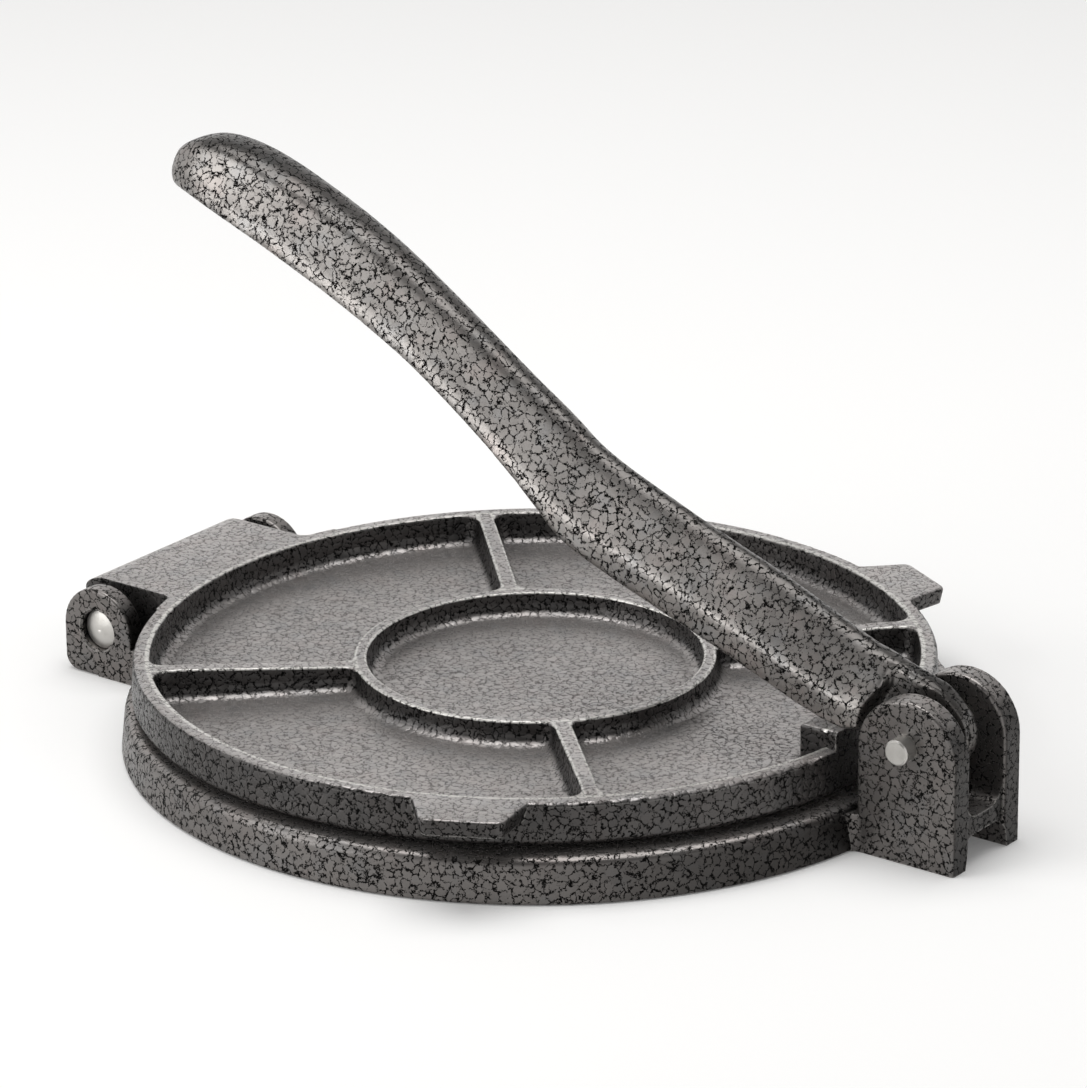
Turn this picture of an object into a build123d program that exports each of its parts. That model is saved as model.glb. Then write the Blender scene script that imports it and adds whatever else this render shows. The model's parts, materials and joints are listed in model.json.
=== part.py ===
from build123d import *
from math import cos, radians, sin, sqrt
import os

# Cast-iron tortilla press, closed, with the lever lying over the plate.
# +X runs from the hinge to the lever clevis, +Z is up, and the table is at z = 0.
# The sizes below are counted from the centre of the base disc. The finished pieces are then moved
# along X so that the origin lies halfway between the hinge end and the clevis end.
# All sizes in millimetres.

# Base disc
base_radius = 105.5            # at the top of the side wall
base_flare = 1.2               # how much wider the disc is at the table
base_foot_radius = base_radius + base_flare
base_height = 11.4
base_shoulder = 2.8            # rounded upper edge
base_foot_edge = 0.8
base_floor = 4.4               # iron left above the hollow underside
base_rim_width = 6.0
base_ring_radius = 45.0
base_ring_width = 6.0
base_rib_width = 6.0
underside_draft = 6.0          # degrees
underside_corner = 4.0
underside_fillet = 2.5

# Hinge lugs on the base
hinge_reach = 12.4             # from the disc's side to the pin's axis
hinge_rise = 1.3               # the pin's axis above the disc
hinge_x = -(base_radius + hinge_reach)
hinge_z = base_height + hinge_rise
lug_radius = 11.4
lug_inner = 30.7
lug_thickness = 5.5
lug_outer = lug_inner + lug_thickness
lug_heel = 4.0                 # rounded lower back corner
lug_edge = 0.9
lug_root_depth = 13.5          # how far the lugs' roots run into the disc
lug_root_x = -(base_radius - lug_root_depth)
lug_root_radius = 2.5

# Clevis on the base
clevis_reach = 14.5            # from the disc's side to the lever pin's axis
lever_rise = 18.9              # the lever pin's axis above the disc
lever_x = base_radius + clevis_reach
lever_z = base_height + lever_rise
ear_lead = 0.2                 # the ears' round tops lie a little beyond the pin
ear_drop = 2.3                 # and lower than it
ear_centre_x = lever_x + ear_lead
ear_centre_z = lever_z - ear_drop
ear_radius = 14.0
ear_inner = 7.8
ear_thickness = 6.9
ear_outer = ear_inner + ear_thickness
ear_edge = 0.9
ear_root_depth = 11.5          # how far the clevis's roots run into the disc
ear_root_x = base_radius - ear_root_depth
ear_root_radius = 4.0          # fillet between an ear and the disc's side
web_low = 7.6
web_high = 12.2
web_corner = 5.0               # rounding where the crossbar meets the ears
arch_foot_half = 9.4           # the arch under the crossbar is wider at the table
arch_top_half = 7.8
arch_corner = 3.6

# Hinge pin
hinge_pin_diameter = 11.0
hinge_pin_recess = 1.0
hinge_pin_edge = 0.6
hinge_pin_crown = 14.0         # radius of the pin's crowned ends
hinge_running_gap = 0.08       # radial, pin in the plate's barrel
hinge_seat_gap = 0.02          # radial, pin in the lugs
hinge_mouth = 0.5              # chamfer of the lug bores

# Lever pin
lever_pin_diameter = 6.5
lever_pin_stand = 4.3          # how far the pin stands out of the ears
lever_pin_reach = ear_outer + lever_pin_stand
lever_pin_edge = 0.45
lever_running_gap = 0.08       # radial, pin in the lever's eye
lever_seat_gap = 0.02          # radial, pin in the ears

# Top plate
plate_x = -1.7
plate_gap = 1.6                # between the plate and the base
plate_thickness = 10.8
plate_bottom = base_height + plate_gap
plate_top = plate_bottom + plate_thickness
plate_inset = 3.7              # the plate is this much smaller than the base
plate_flare = 0.7
plate_radius = base_radius - plate_inset
plate_foot_radius = plate_radius + plate_flare
plate_top_edge = 1.0
plate_foot_edge = 1.6
rim_width = 4.2
rim_inner = plate_radius - rim_width
plate_floor = 3.0              # iron left under the pockets
pocket_floor = plate_bottom + plate_floor
pocket_draft = 5.0             # degrees
pocket_corner = 4.4
pocket_fillet = 3.4
ring_outer = 45.8
ring_width = 3.0
ring_inner = ring_outer - ring_width
ring_dip = 2.0                 # the ring and ribs dip below the rim
ring_top = plate_top - ring_dip
dip_margin = 9.0               # the ribs start to dip this far inside the rim
dip_start = rim_inner - dip_margin
rib_width = 4.0
crest_edge = 0.6               # rounding along the top of the rim, ring and ribs

# Finger tabs
tab_angle = 62.0
tab_length = 12.1
tab_reach = plate_radius + tab_length
tab_root_half = 8.7            # degrees, at the rim
tab_tip_half = 5.1             # degrees, at the outer edge
tab_thickness = 4.3
tab_draft = 12.0               # degrees
tab_corner = 3.2
tab_root_radius = 4.0
tab_edge = 0.9

# Hinge block and barrel
block_side_gap = 3.2           # between the block and each lug
block_half = lug_inner - block_side_gap
barrel_radius = 10.4
block_end = 13.6               # how far the block reaches behind the pin
block_end_corner = 9.0
block_low_corner = 2.5
block_low = 4.5                # below the pin
block_side_corner = 4.5
block_root_depth = 13.5        # how far the block's root runs into the plate
block_root_x = plate_x - (plate_radius - block_root_depth)
block_root_fillet = 3.0

# Pad under the lever's foot
pad_depth = 11.5
pad_inner_x = plate_x + plate_radius - pad_depth
pad_half = 13.0
foot_drop = 1.3                # the lever's foot reaches this far below its pin
foot_gap = 0.4                 # between the foot and the pad
pad_top = lever_z - foot_drop - foot_gap
pad_edge = 1.0

# Lever
tongue_half = 2.75
eye_radius = 9.9
nose_x = lever_x - 3.3
nose_z = lever_z + 2.4
nose_radius = 10.2
heel_x = lever_x - 20.0        # the tongue's lower end, inside the bar
heel_z = lever_z + 6.7
heel_radius = 7.0
crown_x = lever_x - 17.0       # the tongue's upper end, just under the ridge
crown_z = lever_z + 14.1
crown_radius = 3.0
shoulder_gap = 1.8             # the bar's shoulders swing this far outside the ears
shoulder_setback = 12.0        # and stop this far short of the pin's axis
shoulder_radius = ear_radius + shoulder_gap
cutter_margin = 5.0            # how far cutting tools run past what they cut


def rodAlongY(radius, y0, y1, x, z):
    rod = Cylinder(radius, y1 - y0, align=(Align.CENTER, Align.CENTER, Align.MIN))
    return Pos(x, y0, z) * Rot(-90, 0, 0) * rod


def slabXZ(face, y0, y1):
    # a face drawn on XZ becomes a slab from y0 to y1
    plane = Plane(origin=(0, y1, 0), x_dir=(1, 0, 0), z_dir=(0, -1, 0))
    return extrude(plane * face, y1 - y0)


def nearest(shape, point):
    return sorted(shape.vertices(), key=lambda v: (Vector(v.X, v.Y, v.Z) - Vector(*point)).length)[0]


def roundedFace(corners):
    # corners: (x, y, radius)
    face = make_face(Polyline(*[(x, y) for x, y, _ in corners], close=True))
    for x, y, radius in corners:
        if radius > 0:
            face = fillet(nearest(face, (x, y, 0)), radius)
    return face


def planWithRoots(centre_x, radius, shape, root_radius):
    # a disc's outline joined to something that sticks out of it, with filleted roots
    face = Pos(centre_x, 0) * Circle(radius) + shape
    middle = Vector(centre_x, 0, 0)
    roots = [v for v in face.vertices() if abs((Vector(v.X, v.Y, 0) - middle).length - radius) < 0.01]
    roots = [v for v in roots if abs(v.Y) > 0.5]
    return fillet(roots, root_radius)


def boxFace(x0, x1, y0, y1):
    return Pos((x0 + x1) / 2, (y0 + y1) / 2) * Rectangle(x1 - x0, y1 - y0)


def sectorFace(inner, outer, half_gap, corner):
    # one of four pockets between a ring and a rim, straddling the +X axis before turning
    edge = half_gap * sqrt(2)
    ring = Circle(outer) - Circle(inner)
    far = edge + 2 * outer
    wedge = make_face(Polyline((edge, 0), (far, 2 * outer), (far, -2 * outer), close=True))
    face = ring & wedge
    return fillet(face.vertices(), corner)


def pocketTools(inner, outer, rib, corner, fillet_radius, depth, draft):
    # solids that hang down from z = 0, one between each pair of ribs
    tools = []
    for turn in (0, 90, 180, 270):
        face = sectorFace(inner, outer, rib / 2, corner)
        tool = extrude(face, -depth, taper=draft)
        floor = tool.faces().sort_by(Axis.Z)[0]
        tool = fillet(floor.edges(), fillet_radius)
        tools.append(Rot(0, 0, turn) * tool)
    return tools


def roundPocket(radius, fillet_radius, depth, draft):
    tool = extrude(Circle(radius), -depth, taper=draft)
    return fillet(tool.faces().sort_by(Axis.Z)[0].edges(), fillet_radius)


def discOfRevolution(corners):
    # corners in (radius, z, rounding)
    face = roundedFace(corners)
    return revolve(Plane.XZ * face, Axis.Z)


def makeBase():
    body = discOfRevolution([
        (0, 0, 0), (base_foot_radius, 0, base_foot_edge),
        (base_radius, base_height, base_shoulder), (0, base_height, 0)])
    # filleted roots of the clevis and the lugs, just below the disc's rounded edge
    root_height = base_height - base_shoulder + 1.2
    right = ear_centre_x + 2
    body += extrude(planWithRoots(0, base_radius, boxFace(ear_root_x, right, -ear_outer, ear_outer),
                                  ear_root_radius), root_height)
    for side in (-1, 1):
        y0, y1 = sorted((side * lug_inner, side * lug_outer))
        body += extrude(planWithRoots(0, base_radius, boxFace(hinge_x, lug_root_x, y0, y1),
                                      lug_root_radius), root_height)
        body += lug(side)
    body += crossbar()
    for side in (-1, 1):
        body += ear(side)
    body -= arch()
    depth = base_height - base_floor
    # the underside is hollow: a rim, a ring and four ribs carry the floor
    inside = base_radius - base_rim_width
    for tool in pocketTools(base_ring_radius + base_ring_width, inside, base_rib_width,
                            underside_corner, underside_fillet, depth, underside_draft):
        body -= Rot(180, 0, 45) * tool
    body -= Rot(180, 0, 0) * roundPocket(base_ring_radius, underside_fillet, depth, underside_draft)
    for side in (-1, 1):
        y0, y1 = sorted((side * (lug_inner - 1), side * (lug_outer + 1)))
        body -= rodAlongY(hinge_pin_diameter / 2 + hinge_seat_gap, y0, y1, hinge_x, hinge_z)
        y0, y1 = sorted((side * (ear_inner - 1), side * (ear_outer + 1)))
        body -= rodAlongY(lever_pin_diameter / 2 + lever_seat_gap, y0, y1, lever_x, lever_z)
    return body


def edgesOfCheek(cheek, inner, outer):
    # the outline edges of a flat cheek, leaving out those on the table
    middle = (inner + outer) / 2
    outline = [e for e in cheek.edges() if abs(abs(e.center().Y) - middle) > 0.3 * (outer - inner)]
    return [e for e in outline if e.center().Z > 0.1]


def lug(side):
    # flat cheek with a round top that stands on the table behind the disc
    back = hinge_x - lug_radius
    front = hinge_x + lug_radius
    face = roundedFace([(back, 0, lug_heel), (front, 0, 0), (front, hinge_z, 0), (back, hinge_z, 0)])
    face += Pos(hinge_x, hinge_z) * Circle(lug_radius)
    y0, y1 = sorted((side * lug_inner, side * lug_outer))
    cheek = slabXZ(face, y0, y1)
    cheek = fillet(edgesOfCheek(cheek, lug_inner, lug_outer), lug_edge)
    depth = hinge_mouth + 0.1
    mouth = Cone(hinge_pin_diameter / 2, hinge_pin_diameter / 2 + depth, depth)
    return cheek - Pos(hinge_x, side * (lug_outer + 0.1 - depth / 2), hinge_z) * Rot(-90 * side, 0, 0) * mouth


def ear(side):
    # upright cheek of the clevis, round on top and square at the table
    left = ear_centre_x - ear_radius
    right = ear_centre_x + ear_radius
    face = make_face(Polyline((left, 0), (right, 0), (right, ear_centre_z), (left, ear_centre_z), close=True))
    face += Pos(ear_centre_x, ear_centre_z) * Circle(ear_radius)
    y0, y1 = sorted((side * ear_inner, side * ear_outer))
    cheek = slabXZ(face, y0, y1)
    return fillet(edgesOfCheek(cheek, ear_inner, ear_outer), ear_edge)


def crossbar():
    # solid between the ears with a round-bottomed channel on top
    left = ear_centre_x - ear_radius + ear_edge
    right = ear_centre_x + ear_radius - ear_edge
    half = ear_inner + 1
    crest = web_high + web_corner
    face = roundedFace([(-half, 0, 0), (half, 0, 0), (half, crest, 0), (ear_inner, crest, 0),
                        (ear_inner, web_high, web_corner - 0.05), (-ear_inner, web_high, web_corner - 0.05),
                        (-ear_inner, crest, 0), (-half, crest, 0)])
    plane = Plane(origin=(left, 0, 0), x_dir=(0, 1, 0), z_dir=(1, 0, 0))
    return extrude(plane * face, right - left)


def arch():
    # the space under the crossbar, open at the end away from the disc
    left = base_foot_radius + 1.5
    right = ear_centre_x + ear_radius + 1
    face = roundedFace([(-arch_foot_half, -1, 0), (arch_foot_half, -1, 0),
                        (arch_top_half, web_low, arch_corner), (-arch_top_half, web_low, arch_corner)])
    plane = Plane(origin=(left, 0, 0), x_dir=(0, 1, 0), z_dir=(1, 0, 0))
    return extrude(plane * face, right - left)


def makePlate():
    disc = discOfRevolution([
        (0, plate_bottom, 0), (plate_foot_radius, plate_bottom, plate_foot_edge),
        (plate_radius, plate_top, plate_top_edge), (0, plate_top, 0)])
    body = Pos(plate_x, 0, 0) * disc + hingeBlock()
    # the ring and ribs dip towards the middle
    dish = revolve(Plane.XZ * make_face(Polyline(
        (0, ring_top), (ring_outer, ring_top), (dip_start, plate_top), (dip_start, plate_top + 1),
        (0, plate_top + 1), close=True)), Axis.Z)
    body -= Pos(plate_x, 0, 0) * dish
    depth = plate_top - pocket_floor
    for tool in pocketTools(ring_outer, rim_inner, rib_width, pocket_corner,
                            pocket_fillet, depth, pocket_draft):
        body -= Pos(plate_x, 0, plate_top) * tool
    drop = ring_top - pocket_floor
    body -= Pos(plate_x, 0, ring_top) * roundPocket(ring_inner, pocket_fillet, drop, pocket_draft)
    body = fillet(crestEdges(body), crest_edge)
    for side in (-1, 1):
        body += tab(side)
    body += pad()
    bore = hinge_pin_diameter / 2 + hinge_running_gap
    return body - rodAlongY(bore, -block_half - 1, block_half + 1, hinge_x, hinge_z)


def crestEdges(body):
    # the upper edges of the pockets
    found = []
    for edge in body.edges():
        if edge.bounding_box().min.Z < ring_top - 0.2:
            continue
        radii = [Vector(p.X - plate_x, p.Y, 0).length for p in (edge @ 0, edge @ 0.5, edge @ 1)]
        if ring_inner - 1 < max(radii) < rim_inner + 0.1:
            found.append(edge)
    return found


def hingeBlock():
    # square-shouldered block, flush with the rim, over a round barrel that holds the pin
    back = hinge_x - block_end
    low = hinge_z - block_low
    side_face = roundedFace([(block_root_x, plate_bottom, 0), (block_root_x, plate_top, 0),
                             (back, plate_top, block_end_corner), (back, low, block_low_corner),
                             (hinge_x, low, 0), (hinge_x, plate_bottom, 0)])
    outline = roundedFace([(back, -block_half, block_side_corner), (block_root_x, -block_half, 0),
                           (block_root_x, block_half, 0), (back, block_half, block_side_corner)])
    plan = planWithRoots(plate_x, plate_radius, outline, block_root_fillet)
    slab = slabXZ(side_face, -block_half - 3 * block_root_fillet, block_half + 3 * block_root_fillet)
    block = extrude(Pos(0, 0, low) * plan, plate_top - low) & slab
    barrel = rodAlongY(barrel_radius, -block_half, block_half, hinge_x, hinge_z)
    return block + barrel


def tab(side):
    # trapezoid finger tab on a band that lies inside the rim, top flush with it
    def polar(radius, angle):
        return (plate_x + radius * cos(radians(angle)), radius * sin(radians(angle)))
    mid = side * tab_angle
    root = plate_radius - 3
    inner = [polar(root, mid - tab_root_half), polar(root, mid + tab_root_half)]
    outer = [polar(tab_reach, mid - tab_tip_half), polar(tab_reach, mid + tab_tip_half)]
    outline = roundedFace([(*inner[0], 0), (*outer[0], tab_corner), (*outer[1], tab_corner), (*inner[1], 0)])
    plan = planWithRoots(plate_x, plate_radius - plate_top_edge, outline, tab_root_radius)
    blade = extrude(Pos(0, 0, plate_top) * plan, -tab_thickness, taper=tab_draft)
    blade = fillet(blade.faces().sort_by(Axis.Z)[-1].edges(), tab_edge)
    band_inner = (rim_inner + plate_radius) / 2
    return blade - Pos(plate_x, 0, plate_top) * Cylinder(band_inner, 3 * tab_thickness)


def pad():
    # raised block that takes the lever's foot
    low = pocket_floor - 1
    block = Pos(pad_inner_x, 0, low) * Box(
        pad_depth + rim_width, 2 * pad_half, pad_top - low, align=(Align.MIN, Align.CENTER, Align.MIN))
    block = fillet(block.faces().sort_by(Axis.Z)[-1].edges(), pad_edge)
    disc = Pos(plate_x, 0, low) * Cylinder(
        plate_radius - 0.2, 2 * (pad_top - low), align=(Align.CENTER, Align.CENTER, Align.MIN))
    return block & disc


# Lever sections from the clevis to the grip, counted from the lever pin's axis.
# underside x, z; ridge x, z; half width below, half width and height of the bulge, half width of the ridge
lever_sections = [
    (-12.0, 0.3, -5.4, 13.7, 12.0, 11.5, 7.5, 2.6),
    (-21.0, -foot_drop, -13.9, 16.4, 12.0, 11.5, 8.0, 2.6),
    (-32.0, 1.5, -23.9, 20.0, 12.0, 11.5, 8.3, 2.6),
    (-55.0, 10.0, -46.9, 29.7, 12.0, 11.5, 8.3, 2.6),
    (-78.0, 18.1, -69.8, 38.1, 12.0, 11.5, 8.3, 2.6),
    (-92.0, 23.2, -83.8, 43.6, 12.0, 11.5, 8.0, 2.7),
    (-104.7, 28.9, -94.7, 48.1, 12.2, 11.4, 7.2, 2.9),
    (-112.8, 35.7, -102.2, 51.9, 11.9, 10.9, 5.5, 3.1),
    (-120.4, 41.9, -110.2, 57.6, 11.3, 10.2, 4.6, 3.4),
    (-135.2, 52.9, -126.0, 67.6, 10.5, 9.5, 4.2, 3.8),
    (-154.6, 66.1, -145.4, 80.2, 10.7, 9.8, 4.2, 4.6),
    (-175.7, 77.8, -168.5, 93.9, 11.7, 10.8, 4.4, 5.6),
    (-197.5, 87.7, -191.7, 104.3, 12.4, 11.6, 4.8, 6.2),
    (-212.3, 93.5, -208.3, 109.9, 12.4, 11.6, 5.2, 6.2),
    (-223.0, 97.1, -221.4, 111.4, 11.3, 10.6, 5.2, 5.4),
    (-230.4, 98.6, -230.9, 108.3, 8.6, 8.0, 3.6, 4.0),
    (-235.0, 99.9, -235.6, 103.7, 4.0, 3.7, 1.5, 1.9),
]


def leverSection(xb, zb, xt, zt, half, bulge_half, bulge_height, ridge_half):
    height = sqrt((xt - xb) ** 2 + (zt - zb) ** 2)
    up = Vector(xt - xb, 0, zt - zb).normalized()
    along = Vector(0, 1, 0).cross(up)
    corner = min(1.6, 0.25 * half)
    soft = min(5.0, 0.6 * bulge_height)
    dome = 0.9 * ridge_half
    face = roundedFace([
        (-half, 0, corner), (half, 0, corner), (bulge_half, bulge_height, soft),
        (ridge_half, height, dome), (-ridge_half, height, dome), (-bulge_half, bulge_height, soft)])
    return Plane(origin=(lever_x + xb, 0, lever_z + zb), x_dir=(0, 1, 0), z_dir=along) * face


def makeLever():
    bar = loft([leverSection(*row) for row in lever_sections])
    # the wide bar stops in round shoulders that swing clear of the ears
    for side in (-1, 1):
        y0, y1 = sorted((side * tongue_half, side * (ear_outer + cutter_margin)))
        bar -= rodAlongY(shoulder_radius, y0, y1, lever_x, lever_z)
        bar -= Pos(lever_x - shoulder_setback, (y0 + y1) / 2, lever_z) * Box(
            2 * shoulder_radius, y1 - y0, 4 * shoulder_radius, align=(Align.MIN, Align.CENTER, Align.CENTER))
    tongue = slabXZ(tongueFace(), -tongue_half, tongue_half)
    body = bar + tongue
    half = tongue_half + cutter_margin
    body -= rodAlongY(lever_pin_diameter / 2 + lever_running_gap, -half, half, lever_x, lever_z)
    return body


def tongueFace():
    # outline around the eye, the nose and two rounds that lie inside the bar
    rounds = [(lever_x, lever_z, eye_radius), (nose_x, nose_z, nose_radius),
              (heel_x, heel_z, heel_radius), (crown_x, crown_z, crown_radius)]
    edges = []
    for x, z, radius in rounds:
        edges += (Pos(x, z) * Circle(radius)).edges()
    return make_hull(edges)


def makeHingePin():
    # half the rod's outline with crowned ends, turned about the pin's axis
    half = lug_outer - hinge_pin_recess
    radius = hinge_pin_diameter / 2

    def crownAt(x):
        return half - hinge_pin_crown + sqrt(hinge_pin_crown ** 2 - x ** 2)
    corner = crownAt(radius)
    outline = [Line((0, -half), (0, half)), Line((radius, -corner), (radius, corner))]
    for side in (-1, 1):
        outline.append(ThreePointArc((0, side * half), (radius / 2, side * crownAt(radius / 2)),
                                     (radius, side * corner)))
    face = make_face(outline)
    face = fillet([v for v in face.vertices() if v.X > radius - 0.01], hinge_pin_edge)
    return Pos(hinge_x, 0, hinge_z) * revolve(face, Axis.Y)


def makeLeverPin():
    pin = rodAlongY(lever_pin_diameter / 2, -lever_pin_reach, lever_pin_reach, lever_x, lever_z)
    return chamfer(pin.edges().filter_by(GeomType.CIRCLE), lever_pin_edge)


if __name__ == "__main__":
    os.makedirs("parts", exist_ok=True)
    pieces = {
        "base_casting": makeBase,
        "top_plate": makePlate,
        "lever": makeLever,
        "hinge_pin": makeHingePin,
        "lever_pin": makeLeverPin,
    }
    middle_x = (hinge_x - block_end + ear_centre_x + ear_radius) / 2
    for name, make in pieces.items():
        shape = Pos(-middle_x, 0, 0) * make()
        solids = shape.solids()
        print(name, "solids", len(solids), "volume", round(shape.volume), "valid", shape.is_valid)
        export_step(shape, f"parts/{name}.step")
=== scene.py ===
import bpy
import json
import math
from mathutils import Euler, Matrix, Vector


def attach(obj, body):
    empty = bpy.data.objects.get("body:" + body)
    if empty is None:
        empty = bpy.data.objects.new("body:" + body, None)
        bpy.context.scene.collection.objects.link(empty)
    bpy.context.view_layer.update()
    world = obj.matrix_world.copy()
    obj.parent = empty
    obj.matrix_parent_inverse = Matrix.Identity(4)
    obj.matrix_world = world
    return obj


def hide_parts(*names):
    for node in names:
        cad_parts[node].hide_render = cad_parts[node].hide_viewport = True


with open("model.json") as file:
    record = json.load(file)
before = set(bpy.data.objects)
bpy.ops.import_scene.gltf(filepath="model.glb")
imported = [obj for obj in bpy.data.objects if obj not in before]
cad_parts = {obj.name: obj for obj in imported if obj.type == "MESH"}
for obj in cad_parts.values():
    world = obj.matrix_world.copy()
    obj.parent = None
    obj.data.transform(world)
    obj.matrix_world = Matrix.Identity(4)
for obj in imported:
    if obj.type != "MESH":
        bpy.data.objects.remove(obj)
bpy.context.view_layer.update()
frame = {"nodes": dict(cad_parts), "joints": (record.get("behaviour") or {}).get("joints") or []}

mm = 0.001
nodes = frame["nodes"]
joints = {joint["name"]: joint for joint in frame["joints"]}
leverPinPlace = Vector(joints["lever_pivot"]["pos_m"])
hingePinPlace = Vector(joints["plate_hinge"]["pos_m"])
print("stage: packed frame loaded,", len(nodes), "nodes")


def addNode(tree, kind, place=(0, 0), **settings):
    node = tree.nodes.new(kind)
    node.location = place
    for key, value in settings.items():
        setattr(node, key, value)
    return node


def feed(tree, socket, value):
    # a socket takes either another socket or a plain value
    if isinstance(value, bpy.types.NodeSocket):
        tree.links.new(value, socket)
    else:
        socket.default_value = value


def maths(tree, operation, *values, clamp=False):
    node = addNode(tree, "ShaderNodeMath", operation=operation, use_clamp=clamp)
    for socket, value in zip(node.inputs, values):
        feed(tree, socket, value)
    return node.outputs[0]


def vectorMaths(tree, operation, *values):
    node = addNode(tree, "ShaderNodeVectorMath", operation=operation)
    for index, value in enumerate(values):
        socket = node.inputs["Scale"] if operation == "SCALE" and index == 1 else node.inputs[index]
        feed(tree, socket, value)
    return node.outputs[1] if operation in ("LENGTH", "DOT_PRODUCT") else node.outputs[0]


def ramp(tree, value, low, high, toLow=0.0, toHigh=1.0, smooth=True):
    node = addNode(tree, "ShaderNodeMapRange", interpolation_type="SMOOTHSTEP" if smooth else "LINEAR")
    for name, item in (("Value", value), ("From Min", low), ("From Max", high), ("To Min", toLow), ("To Max", toHigh)):
        feed(tree, node.inputs[name], item)
    return node.outputs[0]


def blendValue(tree, amount, first, second):
    node = addNode(tree, "ShaderNodeMix", data_type="FLOAT")
    feed(tree, node.inputs[0], amount)
    feed(tree, node.inputs[2], first)
    feed(tree, node.inputs[3], second)
    return node.outputs[0]


def blendColor(tree, amount, first, second):
    node = addNode(tree, "ShaderNodeMix", data_type="RGBA")
    feed(tree, node.inputs[0], amount)
    for socket, value in zip((node.inputs[6], node.inputs[7]), (first, second)):
        feed(tree, socket, value if isinstance(value, bpy.types.NodeSocket) else (*value, 1.0))
    return node.outputs[2]


def noise(tree, vector, scale, detail=3.0, roughness=0.5):
    node = addNode(tree, "ShaderNodeTexNoise", noise_dimensions="3D")
    feed(tree, node.inputs["Vector"], vector)
    node.inputs["Scale"].default_value = scale
    node.inputs["Detail"].default_value = detail
    node.inputs["Roughness"].default_value = roughness
    return node.outputs["Fac"], node.outputs["Color"]


def objectMillimetres(tree):
    # object coordinates, counted in millimetres
    coordinates = addNode(tree, "ShaderNodeTexCoord")
    return vectorMaths(tree, "SCALE", coordinates.outputs["Object"], 1000.0), coordinates


paint = {
    "metallic": 0.8,
    "crackRoughness": 0.8,
    "specular": 0.25,
    "warmTint": (0.43, 0.355, 0.33),
    "coolTint": (0.32, 0.345, 0.365),
    "crackPaint": (0.003, 0.0028, 0.0026),
    "wearAndHighlightTint": (0.80, 0.78, 0.74),      # where the edges are rubbed bright, partly painted highlight, and the painted highlight on the plate's crests
    "edgeReach": 0.7,                    # millimetres
    "hollowReach": 12.0,
}
# lengths in millimetres; the side, top and end levels are painted shade, a brightness for faces that look up, for
# upright ones and for ends
leverLook = {
    "cell": 2.2, "crackWidth": 0.31, "closing": 0.44, "crackDepth": 0.08, "dome": 0.0, "waviness": 0.05,
    "light": (0.40, 0.377, 0.358), "dark": (0.19, 0.178, 0.169), "roughness": 0.3,
    "topCracks": 1.0, "paintedSideShade": 0.86, "paintedTopShade": 0.42, "paintedEndShade": 0.95, "edgeWearAndHighlight": 0.0, "hollowShadeStrength": 0.0,
    "noseReach": 15.0, "noseShadeLevel": 0.5,
}
plateLook = {
    "cell": 2.0, "crackWidth": 0.27, "closing": 0.44, "crackDepth": 0.10, "dome": 0.05, "waviness": 0.45,
    "light": (0.60, 0.568, 0.552), "dark": (0.34, 0.319, 0.309), "roughness": 0.3,
    "topCracks": 0.5, "paintedSideShade": 0.14, "paintedTopShade": 1.0, "paintedEndShade": 0.2, "edgeWearAndHighlight": 0.3, "hollowShadeStrength": 0.4,
}
baseLook = {
    "cell": 2.2, "crackWidth": 0.32, "closing": 0.44, "crackDepth": 0.10, "dome": 0.0, "waviness": 0.3,
    "light": (0.46, 0.43, 0.412), "dark": (0.27, 0.25, 0.238), "roughness": 0.34,
    "topCracks": 0.9, "paintedSideShade": 0.42, "paintedTopShade": 0.95, "paintedEndShade": 0.13, "edgeWearAndHighlight": 0.3, "hollowShadeStrength": 0.8,
}
# painted highlight along the crests of the plate's rim, ring and ribs, in millimetres
plateCrests = {
    "middle": (-3.05, 0.0),
    "circles": (98.3, 45.8, 42.8),
    "ribHalf": 2.0,
    "lowest": 21.0,
    "reach": 0.8,
    "paintedHighlight": 0.9,
}


def shiftBy(tree, place, wobble, reach):
    # moves a place by a noise colour, up to half the reach each way
    centred = vectorMaths(tree, "SUBTRACT", wobble, (0.5, 0.5, 0.5))
    return vectorMaths(tree, "ADD", place, vectorMaths(tree, "SCALE", centred, reach))


def cellEdges(tree, place, cell, bend):
    # distance from the edges of bent cells, in millimetres
    coarse = noise(tree, place, 0.5 / cell, 2.0, 0.6)[1]
    fine = noise(tree, place, 2.4 / cell, 2.0, 0.7)[1]
    jagged = noise(tree, place, 7.0 / cell, 2.0, 0.7)[1]
    bent = shiftBy(tree, place, coarse, cell * 1.0)
    bent = shiftBy(tree, bent, fine, cell * bend)
    bent = shiftBy(tree, bent, jagged, cell * bend * 0.4)
    edges = addNode(tree, "ShaderNodeTexVoronoi", feature="DISTANCE_TO_EDGE")
    feed(tree, edges.inputs["Vector"], bent)
    edges.inputs["Scale"].default_value = 1.0 / cell
    return maths(tree, "MULTIPLY", edges.outputs["Distance"], cell), bent


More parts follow.
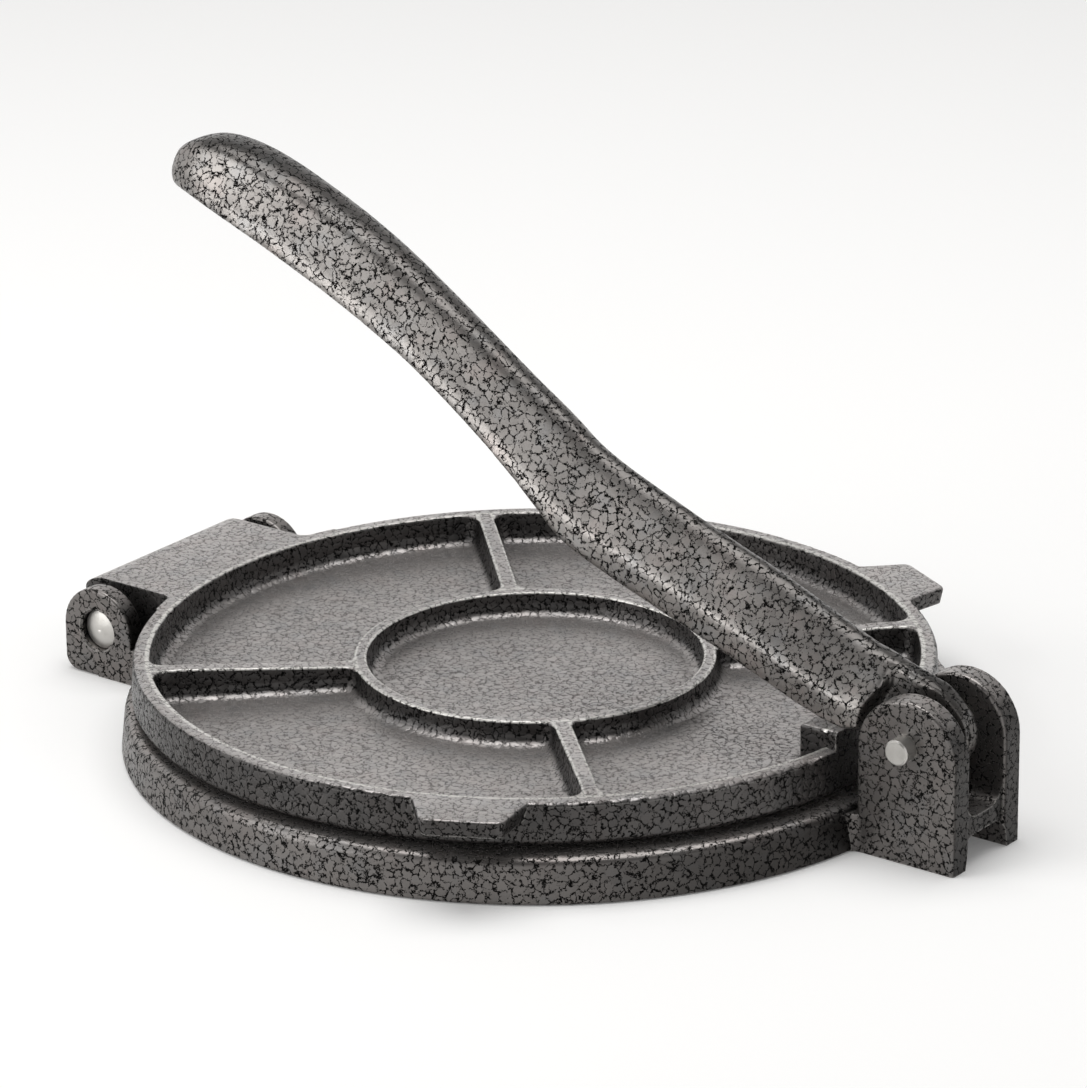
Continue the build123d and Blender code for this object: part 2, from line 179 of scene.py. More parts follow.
def crackPattern(tree, place, cell, width, closing):
    # jagged main cracks that swell and close up, with short spurs beside them
    mainEdge, bent = cellEdges(tree, place, cell, 0.7)
    swell = noise(tree, place, 1.5 / cell, 3.0, 0.7)[0]
    half = maths(tree, "MULTIPLY", ramp(tree, swell, closing, 0.66, 0.35, 0.9, smooth=False), width * 0.8)
    mainLine = ramp(tree, mainEdge, maths(tree, "MULTIPLY", half, 0.7), half, 1.0, 0.0)
    mainLine = maths(tree, "MULTIPLY", mainLine, ramp(tree, swell, closing, closing + 0.04))

    moved = vectorMaths(tree, "ADD", place, (17.0, 11.0, -17.0))
    spurEdge, _ = cellEdges(tree, moved, cell * 0.5, 0.9)
    nearMain = ramp(tree, mainEdge, cell * 0.04, cell * 0.22, 1.0, 0.0)
    spurNoise = noise(tree, moved, 1.7 / cell, 2.0, 0.6)[0]
    spurHalf = maths(tree, "MULTIPLY", nearMain, ramp(tree, spurNoise, 0.47, 0.62))
    spurHalf = maths(tree, "MULTIPLY", spurHalf, width * 0.45)
    spurs = ramp(tree, spurEdge, maths(tree, "MULTIPLY", spurHalf, 0.6), spurHalf, 1.0, 0.0)
    spurs = maths(tree, "MULTIPLY", spurs, ramp(tree, spurHalf, 0.02, 0.06))
    return maths(tree, "MAXIMUM", mainLine, spurs), mainEdge, bent


def roundedEdges(tree):
    # the shading normal of a rounded copy leaves the true one near an edge
    rounded = addNode(tree, "ShaderNodeBevel", samples=4)
    rounded.inputs["Radius"].default_value = paint["edgeReach"] * mm
    true = addNode(tree, "ShaderNodeNewGeometry")
    agree = vectorMaths(tree, "DOT_PRODUCT", rounded.outputs[0], true.outputs["Normal"])
    return ramp(tree, agree, 0.90, 0.995, 1.0, 0.0)


def hollowShade(tree, strength):
    # painted shade where the casting's own walls stand close
    openness = addNode(tree, "ShaderNodeAmbientOcclusion", samples=6, only_local=True)
    openness.inputs["Distance"].default_value = paint["hollowReach"] * mm
    return ramp(tree, openness.outputs["AO"], 0.35, 0.9, 1.0 - strength, 1.0)


def noseShade(tree, place, look):
    # painted shade: the eye of the lever is darker than the bar
    offset = vectorMaths(tree, "SUBTRACT", place, tuple(c / mm for c in leverPinPlace))
    away = vectorMaths(tree, "LENGTH", vectorMaths(tree, "MULTIPLY", offset, (1.0, 0.0, 1.0)))
    return ramp(tree, away, look["noseReach"] - 2.0, look["noseReach"] + 2.0, look["noseShadeLevel"], 1.0)


def crestLines(tree, place, facing, crests):
    # 1 along the upper edges of the rim, ring and ribs, where the painted highlight goes
    flat = vectorMaths(tree, "SUBTRACT", place, (*crests["middle"], 0.0))
    split = addNode(tree, "ShaderNodeSeparateXYZ")
    feed(tree, split.inputs[0], flat)
    diagonal = math.sqrt(0.5)
    ribAxes = [(diagonal, diagonal, 0.0), (diagonal, -diagonal, 0.0)]
    radial = vectorMaths(tree, "LENGTH", vectorMaths(tree, "MULTIPLY", flat, (1.0, 1.0, 0.0)))
    nearest = 10.0
    for radius in crests["circles"]:
        away = maths(tree, "ABSOLUTE", maths(tree, "SUBTRACT", radial, radius))
        nearest = maths(tree, "MINIMUM", away, nearest)
    onRib = maths(tree, "MULTIPLY", maths(tree, "GREATER_THAN", radial, crests["circles"][1]),
                  maths(tree, "LESS_THAN", radial, crests["circles"][0]))
    for axis in ribAxes:
        beside = maths(tree, "ABSOLUTE", vectorMaths(tree, "DOT_PRODUCT", flat, axis))
        away = maths(tree, "SUBTRACT", beside, crests["ribHalf"])
        away = maths(tree, "ADD", maths(tree, "ABSOLUTE", away), maths(tree, "MULTIPLY_ADD", onRib, -10.0, 10.0))
        nearest = maths(tree, "MINIMUM", away, nearest)
    line = ramp(tree, nearest, crests["reach"] * 0.4, crests["reach"], 1.0, 0.0)
    high = maths(tree, "GREATER_THAN", split.outputs["Z"], crests["lowest"])
    line = maths(tree, "MULTIPLY", line, high)
    return maths(tree, "MULTIPLY", line, ramp(tree, facing.outputs["Z"], 0.2, 0.5))


def crackledCasting(name, look, crests=None):
    material = bpy.data.materials.new(name)
    material.use_nodes = True
    tree = material.node_tree
    tree.nodes.clear()
    place, coordinates = objectMillimetres(tree)
    facing = addNode(tree, "ShaderNodeSeparateXYZ")
    feed(tree, facing.inputs[0], coordinates.outputs["Normal"])
    upward = ramp(tree, facing.outputs["Z"], 0.55, 0.97)      # 1 on faces that look up

    cell = look["cell"]
    cracks, edge, bent = crackPattern(tree, place, cell, look["crackWidth"], look["closing"])
    flakeTone = addNode(tree, "ShaderNodeTexVoronoi", feature="F1")
    feed(tree, flakeTone.inputs["Vector"], bent)
    flakeTone.inputs["Scale"].default_value = 1.0 / cell
    split = addNode(tree, "ShaderNodeSeparateColor")
    feed(tree, split.inputs[0], flakeTone.outputs["Color"])
    mottle = noise(tree, place, 2.2, 4.0, 0.75)[0]
    drift = noise(tree, place, 0.03, 2.0, 0.5)[0]
    tint = noise(tree, place, 0.12, 3.0, 0.6)[0]
    tone = maths(tree, "MULTIPLY_ADD", split.outputs[0], 0.3, maths(tree, "MULTIPLY", mottle, 0.7))
    tone = maths(tree, "ADD", tone, maths(tree, "MULTIPLY_ADD", drift, 0.6, -0.3), clamp=True)
    flakes = blendColor(tree, tone, look["dark"], look["light"])
    flakes = blendColor(tree, ramp(tree, tint, 0.52, 0.72, 0.0, 0.22), flakes, paint["warmTint"])
    flakes = blendColor(tree, ramp(tree, tint, 0.5, 0.3, 0.0, 0.2), flakes, paint["coolTint"])
    # painted shade: upright faces, ends and faces that look up each get their own brightness, standing in for how the
    # light falls on them
    endwise = ramp(tree, facing.outputs["X"], 0.5, 0.95)
    paintedShadeLevel = blendValue(tree, upward, blendValue(tree, endwise, look["paintedSideShade"], look["paintedEndShade"]), look["paintedTopShade"])
    # painted shade in the hollows
    if look["hollowShadeStrength"] > 0:
        paintedShadeLevel = maths(tree, "MULTIPLY", paintedShadeLevel, hollowShade(tree, look["hollowShadeStrength"]))
    # painted shade on the lever's eye
    if "noseReach" in look:
        paintedShadeLevel = maths(tree, "MULTIPLY", paintedShadeLevel, noseShade(tree, place, look))
    flakes = vectorMaths(tree, "SCALE", flakes, paintedShadeLevel)
    # edges lightened: partly rubbed wear, partly painted highlight; the patches break up both this and the crest
    # highlight
    wearAndHighlightPatches = ramp(tree, mottle, 0.3, 0.6, 0.5, 1.0)
    if look["edgeWearAndHighlight"] > 0:
        edges = maths(tree, "MULTIPLY", roundedEdges(tree), look["edgeWearAndHighlight"])
        flakes = blendColor(tree, maths(tree, "MULTIPLY", edges, wearAndHighlightPatches), flakes, paint["wearAndHighlightTint"])
    # painted highlight along the plate's crests
    if crests:
        paintedCrestHighlight = maths(tree, "MULTIPLY", crestLines(tree, place, facing, crests), crests["paintedHighlight"])
        flakes = blendColor(tree, maths(tree, "MULTIPLY", paintedCrestHighlight, wearAndHighlightPatches), flakes, paint["wearAndHighlightTint"])
    inked = maths(tree, "MULTIPLY", cracks, blendValue(tree, upward, 1.0, look["topCracks"]))
    color = blendColor(tree, inked, flakes, paint["crackPaint"])

    # relief: domed flakes, sunk cracks, fine grain and the uneven skin of the casting
    grain = noise(tree, place, 2.4, 3.0, 0.65)[0]
    waves = noise(tree, place, 0.08, 2.0, 0.5)[0]
    domed = ramp(tree, edge, 0.0, cell * 0.35, 0.0, look["dome"])
    relief = maths(tree, "MULTIPLY_ADD", cracks, -look["crackDepth"], domed)
    relief = maths(tree, "MULTIPLY_ADD", grain, 0.03, relief)
    relief = maths(tree, "MULTIPLY_ADD", waves, look["waviness"], relief)
    bump = addNode(tree, "ShaderNodeBump")
    bump.inputs["Distance"].default_value = mm
    feed(tree, bump.inputs["Height"], relief)

    shader = addNode(tree, "ShaderNodeBsdfPrincipled")
    feed(tree, shader.inputs["Base Color"], color)
    rough = maths(tree, "MULTIPLY_ADD", mottle, 0.14, look["roughness"] - 0.07)
    feed(tree, shader.inputs["Roughness"], blendValue(tree, cracks, rough, paint["crackRoughness"]))
    feed(tree, shader.inputs["Metallic"], paint["metallic"])
    feed(tree, shader.inputs["Specular IOR Level"], paint["specular"])
    feed(tree, shader.inputs["Normal"], bump.outputs[0])
    output = addNode(tree, "ShaderNodeOutputMaterial")
    feed(tree, output.inputs["Surface"], shader.outputs[0])
    return material


pinLook = {
    "steel": (0.50, 0.485, 0.46),
    "tarnish": (0.34, 0.325, 0.30),
    "metallic": 0.85,
    "roughness": 0.26,
    "turningPitch": 0.28,      # millimetres between the lathe lines on the ends
    "turningDepth": 0.006,
    "scratchDepth": 0.008,
}


def turnedSteel(name, centre):
    # centre: the pin's axis, in metres; the lathe lines run round it
    look = pinLook
    material = bpy.data.materials.new(name)
    material.use_nodes = True
    tree = material.node_tree
    tree.nodes.clear()
    place, _ = objectMillimetres(tree)
    offset = vectorMaths(tree, "SUBTRACT", place, tuple(c / mm for c in centre))
    radial = vectorMaths(tree, "LENGTH", vectorMaths(tree, "MULTIPLY", offset, (1.0, 0.0, 1.0)))
    lines = maths(tree, "SINE", maths(tree, "MULTIPLY", radial, 2 * math.pi / look["turningPitch"]))
    stains = noise(tree, place, 0.35, 4.0, 0.55)[0]
    scratches = noise(tree, vectorMaths(tree, "MULTIPLY", place, (3.0, 0.5, 3.0)), 1.8, 4.0, 0.7)[0]
    color = blendColor(tree, ramp(tree, stains, 0.45, 0.75, 0.0, 0.35), look["steel"], look["tarnish"])
    shader = addNode(tree, "ShaderNodeBsdfPrincipled")
    feed(tree, shader.inputs["Base Color"], color)
    feed(tree, shader.inputs["Metallic"], look["metallic"])
    feed(tree, shader.inputs["Roughness"], maths(tree, "MULTIPLY_ADD", stains, 0.14, look["roughness"]))
    relief = maths(tree, "MULTIPLY", lines, look["turningDepth"])
    relief = maths(tree, "MULTIPLY_ADD", scratches, look["scratchDepth"], relief)
    bump = addNode(tree, "ShaderNodeBump")
    bump.inputs["Distance"].default_value = mm
    feed(tree, bump.inputs["Height"], relief)
    feed(tree, shader.inputs["Normal"], bump.outputs[0])
    output = addNode(tree, "ShaderNodeOutputMaterial")
    feed(tree, output.inputs["Surface"], shader.outputs[0])
    return material


def dress(node, material):
    for slot in nodes[node].material_slots:
        slot.material = material


baseFinish = crackledCasting("baseCrackle", baseLook)
plateFinish = crackledCasting("plateCrackle", plateLook, plateCrests)
leverFinish = crackledCasting("leverCrackle", leverLook)
dress("base_casting", baseFinish)
dress("top_plate", plateFinish)
dress("hinge_pin", turnedSteel("hingePinSteel", hingePinPlace))
dress("lever_pin", turnedSteel("leverPinSteel", leverPinPlace))
print("stage: finishes made")


leverShape = {
    # From the clevis to the grip, in millimetres from the lever pin's axis: underside x and z,
    # ridge x and z, half width of the underside, half width and height of the lower band,
    # half width of the ridge.
    "stations": [
        (-12.0, 0.3, -5.4, 13.7, 12.0, 11.5, 7.5, 2.6),
        (-21.0, -1.3, -13.9, 16.4, 12.0, 11.5, 8.0, 2.6),
        (-32.0, 1.5, -23.9, 20.0, 12.0, 11.5, 8.3, 2.6),
        (-55.0, 10.0, -46.9, 29.7, 12.0, 11.5, 8.3, 2.6),
        (-78.0, 18.1, -69.8, 38.1, 12.0, 11.5, 8.3, 2.6),
        (-92.0, 23.2, -83.8, 43.6, 12.0, 11.5, 8.0, 2.7),
        (-104.7, 28.9, -94.7, 48.1, 12.2, 11.4, 7.2, 2.9),
        (-112.8, 35.7, -102.2, 51.9, 11.9, 10.9, 5.5, 3.1),
        (-120.4, 41.9, -110.2, 57.6, 11.3, 10.2, 4.6, 3.4),
        (-135.2, 52.9, -126.0, 67.6, 10.5, 9.5, 4.2, 3.8),
        (-154.6, 66.1, -145.4, 80.2, 10.7, 9.8, 4.2, 4.6),
        (-175.7, 77.8, -168.5, 93.9, 11.7, 10.8, 4.4, 5.6),
        (-197.5, 87.7, -191.7, 104.3, 12.4, 11.6, 4.8, 6.2),
        (-212.3, 93.5, -208.3, 109.9, 12.4, 11.6, 5.2, 6.2),
        (-223.0, 97.1, -221.4, 111.4, 11.3, 10.6, 5.2, 5.4),
        (-230.4, 98.6, -230.9, 108.3, 8.6, 8.0, 3.6, 4.0),
        (-234.8, 99.9, -235.4, 103.7, 4.0, 3.7, 1.5, 1.9),
    ],
    "between": 8,                    # steps between two stations
    "underCorner": (0.07, 0.2),      # how far each rounding runs along its two sides
    "bandCorner": (0.24, 0.13),
    "ridgeCorner": (0.30, 0.42),
    # rounds that the flat tongue is wrapped round: x, z and radius
    "tongueRounds": [(0.0, 0.0, 9.9), (-3.3, 2.4, 10.2), (-20.0, 6.7, 7.0), (-17.0, 14.1, 3.0)],
    "tongueThickness": 5.5,
    "shoulderRadius": 15.8,          # the wide bar stops this far from the pin
    "shoulderSetback": 12.0,         # and this far behind its axis
    "boreRadius": 3.33,
    "voxel": 0.56 * mm,
    "castSoftness": 3,               # smoothing passes all over
    "shoulderSoftness": 6,          # further passes where the bar runs into the tongue
    "unevenness": 0.14 * mm,
}


def newTree(name, *sockets):
    # sockets: (name, kind, default)
    tree = bpy.data.node_groups.new(name, "GeometryNodeTree")
    tree.is_modifier = True
    tree.interface.new_socket("Geometry", in_out="INPUT", socket_type="NodeSocketGeometry")
    for title, kind, default in sockets:
        socket = tree.interface.new_socket(title, in_out="INPUT", socket_type="NodeSocket" + kind)
        if default is not None:
            socket.default_value = default
    tree.interface.new_socket("Geometry", in_out="OUTPUT", socket_type="NodeSocketGeometry")
    return tree, addNode(tree, "NodeGroupInput"), addNode(tree, "NodeGroupOutput")


def through(tree, kind, geometry, settings=None, **inputs):
    # a node with one geometry in and one out
    node = addNode(tree, kind, **(settings or {}))
    feed(tree, node.inputs[0], geometry)
    for title, value in inputs.items():
        feed(tree, node.inputs[title.replace("_", " ")], value)
    return node.outputs[0]


def named(tree, title, kind="FLOAT"):
    node = addNode(tree, "GeometryNodeInputNamedAttribute", data_type=kind)
    node.inputs["Name"].default_value = title
    return node.outputs["Attribute"]


def finishTree(tree, geometry, material, output):
    solid = through(tree, "GeometryNodeRealizeInstances", geometry)
    feed(tree, output.inputs[0], through(tree, "GeometryNodeSetMaterial", solid, Material=material))


def cylinderAcross(tree, radius, length, place, sides=96):
    # a cylinder along Y
    rod = addNode(tree, "GeometryNodeMeshCylinder", fill_type="NGON")
    rod.inputs["Vertices"].default_value = sides
    feed(tree, rod.inputs["Radius"], radius)
    feed(tree, rod.inputs["Depth"], length)
    return through(tree, "GeometryNodeTransform", rod.outputs[0], Translation=place, Rotation=(math.pi / 2, 0, 0))


def subtract(tree, body, *tools):
    node = addNode(tree, "GeometryNodeMeshBoolean", operation="DIFFERENCE", solver="EXACT")
    feed(tree, node.inputs[0], body)
    for tool in tools:
        tree.links.new(tool, node.inputs[1])
    return node.outputs[0]


def sectionMesh(shape):
    # The lever's section, as mixes of each station's sizes:
    # across by underside, band and ridge half width, up by band and ridge height.
    under, band, ridge = (1, 0, 0, 0, 0), (0, 1, 0, 1, 0), (0, 0, 1, 0, 1)
    mirror = lambda point: tuple(-w for w in point[:3]) + tuple(point[3:])
    corners = [
        (under, *shape["underCorner"]), (band, *shape["bandCorner"]), (ridge, *shape["ridgeCorner"]),
        (mirror(ridge), *shape["ridgeCorner"][::-1]), (mirror(band), *shape["bandCorner"][::-1]),
        (mirror(under), *shape["underCorner"][::-1])]
    mix = lambda one, two, share: tuple(a + (b - a) * share for a, b in zip(one, two))
    points = []
    for index, (corner, before, after) in enumerate(corners):
        start = mix(corner, corners[index - 1][0], before)
        end = mix(corner, corners[(index + 1) % len(corners)][0], after)
        for step in range(6):
            share = step / 5
            points.append(mix(mix(start, corner, share), mix(corner, end, share), share))
    count = len(points)
    mesh = bpy.data.meshes.new("leverSection")
    mesh.from_pydata([(math.cos(i), math.sin(i), 0) for i in (2 * math.pi * k / count for k in range(count))],
                     [(k, (k + 1) % count) for k in range(count)], [])
    for index, title in enumerate(("acrossUnder", "acrossBand", "acrossRidge", "upBand", "upRidge")):
        layer = mesh.attributes.new(title, "FLOAT", "POINT")
        layer.data.foreach_set("value", [point[index] for point in points])
    return mesh


def stationMesh(shape, pin):
    rows = shape["stations"]
    at = lambda x, z: (pin.x + x * mm, 0.0, pin.z + z * mm)
    mesh = bpy.data.meshes.new("leverPath")
    mesh.from_pydata([at(row[0], row[1]) for row in rows], [(k, k + 1) for k in range(len(rows) - 1)], [])
    for title, index in (("foot", 0), ("crest", 2)):
        layer = mesh.attributes.new(title, "FLOAT_VECTOR", "POINT")
        layer.data.foreach_set("vector", [c for row in rows for c in at(row[index], row[index + 1])])
    for title, index in (("underHalf", 4), ("bandHalf", 5), ("bandHeight", 6), ("ridgeHalf", 7)):
        layer = mesh.attributes.new(title, "FLOAT", "POINT")
        layer.data.foreach_set("value", [row[index] * mm for row in rows])
    return mesh


def sweepTree(shape, material):
    # sweeps the section along the stations, stops it in round shoulders and adds the tongue
    tree, given, output = newTree(
        "sweepLever", ("Section", "Object", None), ("Steps Between", "Int", shape["between"]),
        ("Pin Place", "Vector", None), ("Tongue Thickness", "Float", shape["tongueThickness"] * mm),
        ("Shoulder Radius", "Float", shape["shoulderRadius"] * mm),
        ("Shoulder Setback", "Float", shape["shoulderSetback"] * mm))
    pin = given.outputs["Pin Place"]
    section = addNode(tree, "GeometryNodeObjectInfo", transform_space="ORIGINAL")
    feed(tree, section.inputs["Object"], given.outputs["Section"])
    ring = through(tree, "GeometryNodeMeshToCurve", section.outputs["Geometry"])
    path = through(tree, "GeometryNodeMeshToCurve", given.outputs["Geometry"])
    path = through(tree, "GeometryNodeCurveSplineType", path, {"spline_type": "CATMULL_ROM"})
    path = through(tree, "GeometryNodeSetSplineResolution", path, Resolution=given.outputs["Steps Between"])
    sweep = addNode(tree, "GeometryNodeCurveToMesh")
    feed(tree, sweep.inputs["Curve"], path)
    feed(tree, sweep.inputs["Profile Curve"], ring)
    sweep.inputs["Fill Caps"].default_value = True

    foot, crest = named(tree, "foot", "FLOAT_VECTOR"), named(tree, "crest", "FLOAT_VECTOR")
    lean = vectorMaths(tree, "SUBTRACT", crest, foot)
    across = maths(tree, "MULTIPLY", named(tree, "acrossUnder"), named(tree, "underHalf"))
    across = maths(tree, "MULTIPLY_ADD", named(tree, "acrossBand"), named(tree, "bandHalf"), across)
    across = maths(tree, "MULTIPLY_ADD", named(tree, "acrossRidge"), named(tree, "ridgeHalf"), across)
    rise = maths(tree, "MULTIPLY", named(tree, "upBand"), named(tree, "bandHeight"))
    rise = maths(tree, "MULTIPLY_ADD", named(tree, "upRidge"), vectorMaths(tree, "LENGTH", lean), rise)
    place = vectorMaths(tree, "ADD", foot, vectorMaths(
        tree, "SCALE", vectorMaths(tree, "NORMALIZE", lean), rise))
    sideways = addNode(tree, "ShaderNodeCombineXYZ")
    feed(tree, sideways.inputs["Y"], across)
    place = vectorMaths(tree, "ADD", place, sideways.outputs[0])
    bar = through(tree, "GeometryNodeSetPosition", sweep.outputs[0], Position=place)

    # the shoulders: a disc's room and a square end each side of the tongue
    room = 20 * mm
    reach = 60 * mm
    offset = maths(tree, "ADD", maths(tree, "MULTIPLY", given.outputs["Tongue Thickness"], 0.5), room / 2)
    blockMiddle = maths(tree, "SUBTRACT", reach / 2, given.outputs["Shoulder Setback"])
    for side in (-1, 1):
        across = maths(tree, "MULTIPLY", offset, side)
        beside = addNode(tree, "ShaderNodeCombineXYZ")
        feed(tree, beside.inputs["Y"], across)
        disc = cylinderAcross(tree, given.outputs["Shoulder Radius"], room,
                              vectorMaths(tree, "ADD", pin, beside.outputs[0]))
        ahead = addNode(tree, "ShaderNodeCombineXYZ")
        feed(tree, ahead.inputs["X"], blockMiddle)
        feed(tree, ahead.inputs["Y"], across)
        block = addNode(tree, "GeometryNodeMeshCube")
        block.inputs["Size"].default_value = (reach, room, reach)
        square = through(tree, "GeometryNodeTransform", block.outputs[0],
                         Translation=vectorMaths(tree, "ADD", pin, ahead.outputs[0]))
        bar = subtract(tree, bar, disc)
        bar = subtract(tree, bar, square)

    rounds = addNode(tree, "GeometryNodeJoinGeometry")
    for x, z, radius in shape["tongueRounds"]:
        disc = cylinderAcross(tree, radius * mm, given.outputs["Tongue Thickness"],
                              vectorMaths(tree, "ADD", pin, (x * mm, 0, z * mm)))
        tree.links.new(disc, rounds.inputs[0])
    tongue = through(tree, "GeometryNodeConvexHull", rounds.outputs[0])
    both = addNode(tree, "GeometryNodeJoinGeometry")
    tree.links.new(bar, both.inputs[0])
    tree.links.new(tongue, both.inputs[0])
    finishTree(tree, both.outputs[0], material, output)
    return tree


def softenTree(shape, material):
    # rounds the remeshed casting, more where the bar meets the tongue, and bores the eye
    tree, given, output = newTree(
        "softenCasting", ("Softness", "Int", shape["castSoftness"]),
        ("Shoulder Softness", "Int", shape["shoulderSoftness"]), ("Pin Place", "Vector", None),
        ("Bore Radius", "Float", shape["boreRadius"] * mm), ("Unevenness", "Float", shape["unevenness"]))
    position = addNode(tree, "GeometryNodeInputPosition").outputs[0]

    def blurred(geometry, passes, weight):
        blur = addNode(tree, "GeometryNodeBlurAttribute", data_type="FLOAT_VECTOR")
        feed(tree, [s for s in blur.inputs if s.name == "Value" and s.enabled][0], position)
        feed(tree, blur.inputs["Iterations"], passes)
        feed(tree, blur.inputs["Weight"], weight)
        return through(tree, "GeometryNodeSetPosition", geometry,
                       Position=[s for s in blur.outputs if s.enabled][0])

    body = blurred(given.outputs["Geometry"], given.outputs["Softness"], 1.0)
    away = vectorMaths(tree, "SUBTRACT", position, given.outputs["Pin Place"])
    fromPin = vectorMaths(tree, "LENGTH", vectorMaths(tree, "MULTIPLY", away, (1, 0, 1)))
    split = addNode(tree, "ShaderNodeSeparateXYZ")
    feed(tree, split.inputs[0], position)
    offTongue = ramp(tree, maths(tree, "ABSOLUTE", split.outputs["Y"]), 1.2 * mm, 2.4 * mm)
    nearShoulder = maths(tree, "MULTIPLY", ramp(tree, fromPin, 11.5 * mm, 13.0 * mm),
                         ramp(tree, fromPin, 21.0 * mm, 27.0 * mm, 1.0, 0.0))
    body = blurred(body, given.outputs["Shoulder Softness"], maths(tree, "MULTIPLY", nearShoulder, offTongue))
    normal = addNode(tree, "GeometryNodeInputNormal").outputs[0]
    lumps = addNode(tree, "ShaderNodeTexNoise", noise_dimensions="3D")
    feed(tree, lumps.inputs["Vector"], position)
    lumps.inputs["Scale"].default_value = 90.0
    lumps.inputs["Detail"].default_value = 1.0
    depth = maths(tree, "MULTIPLY", maths(tree, "MULTIPLY", lumps.outputs["Fac"], -1.0), given.outputs["Unevenness"])
    body = through(tree, "GeometryNodeSetPosition", body, Offset=vectorMaths(tree, "SCALE", normal, depth))
    bore = cylinderAcross(tree, given.outputs["Bore Radius"], 30 * mm, given.outputs["Pin Place"], 72)
    body = subtract(tree, body, bore)
    body = through(tree, "GeometryNodeSetShadeSmooth", body, Shade_Smooth=True)
    finishTree(tree, body, material, output)
    return tree


def addTree(holder, tree, **values):
    modifier = holder.modifiers.new(tree.name, "NODES")
    modifier.node_group = tree
    sockets = {item.name: item.identifier for item in tree.interface.items_tree if item.in_out == "INPUT"}
    for title, value in values.items():
        modifier[sockets[title.replace("_", " ")]] = value
    return modifier


def madeMesh(holder, name):
    # the evaluated result as a plain mesh, with the modifiers left behind
    bpy.context.view_layer.update()
    evaluated = holder.evaluated_get(bpy.context.evaluated_depsgraph_get())
    mesh = bpy.data.meshes.new_from_object(evaluated)
    mesh.name = name
    kept = [material for material in mesh.materials if material]
    mesh.materials.clear()
    mesh.materials.append(kept[-1])
    mesh.polygons.foreach_set("material_index", [0] * len(mesh.polygons))
    return mesh


def makeLever(shape):
    section = bpy.data.objects.new("leverSection", sectionMesh(shape))
    holder = bpy.data.objects.new("leverPath", stationMesh(shape, leverPinPlace))
    bpy.context.scene.collection.objects.link(section)
    bpy.context.scene.collection.objects.link(holder)
    addTree(holder, sweepTree(shape, leverFinish), Section=section, Pin_Place=tuple(leverPinPlace))
    skin = holder.modifiers.new("castSkin", "REMESH")
    skin.mode = "VOXEL"
    skin.voxel_size = shape["voxel"]
    skin.use_smooth_shade = True
    addTree(holder, softenTree(shape, leverFinish), Pin_Place=tuple(leverPinPlace))
    mesh = madeMesh(holder, "castLever")
    for spare in (holder, section):
        bpy.data.objects.remove(spare, do_unlink=True)
    lever = bpy.data.objects.new("castLever", mesh)
    bpy.context.scene.collection.objects.link(lever)
    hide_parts("lever")
    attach(lever, "lever")
    print("stage: lever made,", len(mesh.polygons), "faces")
    return lever


makeLever(leverShape)


studio = {
    "floorSize": 4.0,
    "floorGap": 0.1 * mm,      # keeps the floor out of the plane of the base's feet
    "floorColor": (0.93, 0.925, 0.915),
    "floorGlow": 0.09,         # for the camera and for reflections only
    "worldLevel": 0.36,
    "backdropTop": 0.42,       # sine of the height at which the white backdrop starts to fade
    "ceilingStart": 0.68,
    "ceilingLevel": 0.1,
}
# softboxes: size, place, power
softboxes = {
    "overhead": ((1.4, 1.0), (-0.1, 0.1, 1.35), 12.0),
    "leftSide": ((1.1, 0.8), (-0.95, -1.1, 0.9), 7.5),
    "lowFront": ((0.9, 0.16), (-0.62, -1.15, 0.13), 2.6),
}
photoView = {
    "place": (0.78065, -1.0327, 0.5365),
    "tilt": 69.48,
    "heading": 37.09,
    "roll": -0.53,
    "lens": 181.9,
    "sensor": 36.0,
}


def backgroundRays(tree):
    # 1 for what the camera and the reflections see
    path = addNode(tree, "ShaderNodeLightPath")
    seen = maths(tree, "MAXIMUM", path.outputs["Is Camera Ray"], path.outputs["Is Glossy Ray"])
    return maths(tree, "MAXIMUM", seen, path.outputs["Is Transmission Ray"]), path


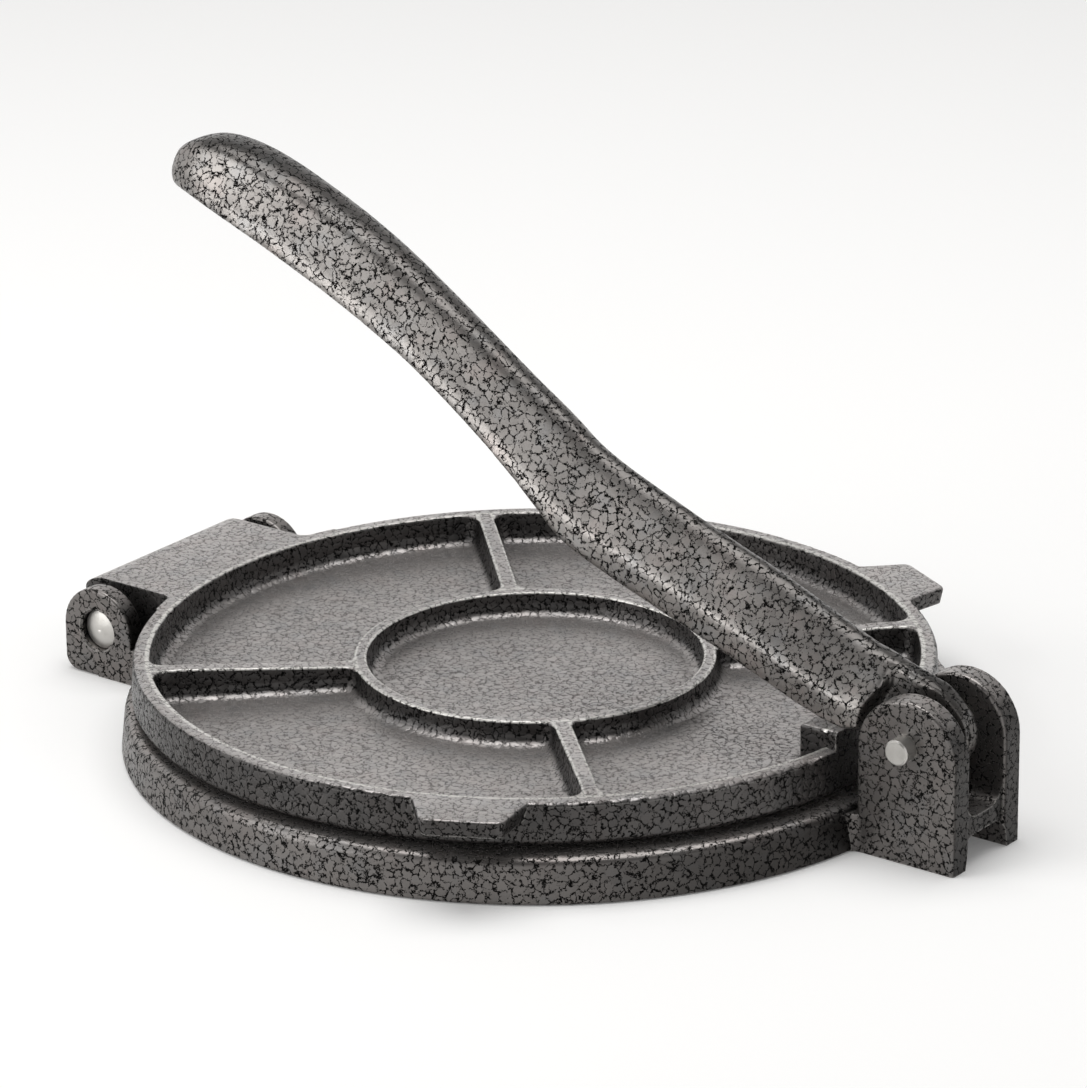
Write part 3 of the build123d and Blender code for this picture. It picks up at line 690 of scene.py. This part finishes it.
def layFloor():
    half = studio["floorSize"] / 2
    mesh = bpy.data.meshes.new("floor")
    low = -studio["floorGap"]
    corners = [(-half, -half, low), (half, -half, low), (half, half, low), (-half, half, low)]
    mesh.from_pydata(corners, [], [(0, 1, 2, 3)])
    floor = bpy.data.objects.new("floor", mesh)
    bpy.context.scene.collection.objects.link(floor)
    material = bpy.data.materials.new("paleFloor")
    material.use_nodes = True
    tree = material.node_tree
    shader = tree.nodes["Principled BSDF"]
    shader.inputs["Base Color"].default_value = (*studio["floorColor"], 1.0)
    shader.inputs["Roughness"].default_value = 0.9
    shader.inputs["Specular IOR Level"].default_value = 0.1
    shader.inputs["Emission Color"].default_value = (1.0, 1.0, 1.0, 1.0)
    seen, _ = backgroundRays(tree)
    feed(tree, shader.inputs["Emission Strength"], maths(tree, "MULTIPLY", seen, studio["floorGlow"]))
    mesh.materials.append(material)


def hangSoftbox(name, size, place, power):
    lamp = bpy.data.lights.new(name, "AREA")
    lamp.shape = "RECTANGLE"
    lamp.size, lamp.size_y = size
    lamp.energy = power
    holder = bpy.data.objects.new(name, lamp)
    holder.location = place
    bpy.context.scene.collection.objects.link(holder)
    holder.rotation_euler = (-holder.location).to_track_quat("-Z", "Y").to_euler()


def lightWorld():
    # a white backdrop all round that fades to a dim ceiling in the reflections
    world = bpy.data.worlds.new("studio")
    bpy.context.scene.world = world
    world.use_nodes = True
    tree = world.node_tree
    seen, path = backgroundRays(tree)
    direction = addNode(tree, "ShaderNodeTexCoord")
    height = addNode(tree, "ShaderNodeSeparateXYZ")
    feed(tree, height.inputs[0], direction.outputs["Generated"])
    fade = ramp(tree, height.outputs["Z"], studio["backdropTop"], studio["ceilingStart"],
                1.0, studio["ceilingLevel"])
    fade = maths(tree, "MAXIMUM", fade, path.outputs["Is Camera Ray"])
    background = tree.nodes["Background"]
    feed(tree, background.inputs["Strength"], blendValue(tree, seen, studio["worldLevel"], fade))
    background.inputs["Color"].default_value = (1, 1, 1, 1)


def placeCamera():
    camera = bpy.data.cameras.new("photoCamera")
    camera.sensor_width = photoView["sensor"]
    camera.lens = photoView["lens"]
    camera.clip_end = 20
    holder = bpy.data.objects.new("photoCamera", camera)
    holder.location = photoView["place"]
    turn = [math.radians(photoView[key]) for key in ("tilt", "heading", "roll")]
    matrix = Euler((turn[0], 0, turn[1])).to_matrix() @ Matrix.Rotation(turn[2], 3, "Z")
    holder.rotation_euler = matrix.to_euler()
    bpy.context.scene.collection.objects.link(holder)
    bpy.context.scene.camera = holder


layFloor()
for title, (size, place, power) in softboxes.items():
    hangSoftbox(title, size, place, power)
lightWorld()
placeCamera()
bpy.context.scene.view_settings.view_transform = "Standard"
print("stage: floor, softboxes, backdrop and camera placed")
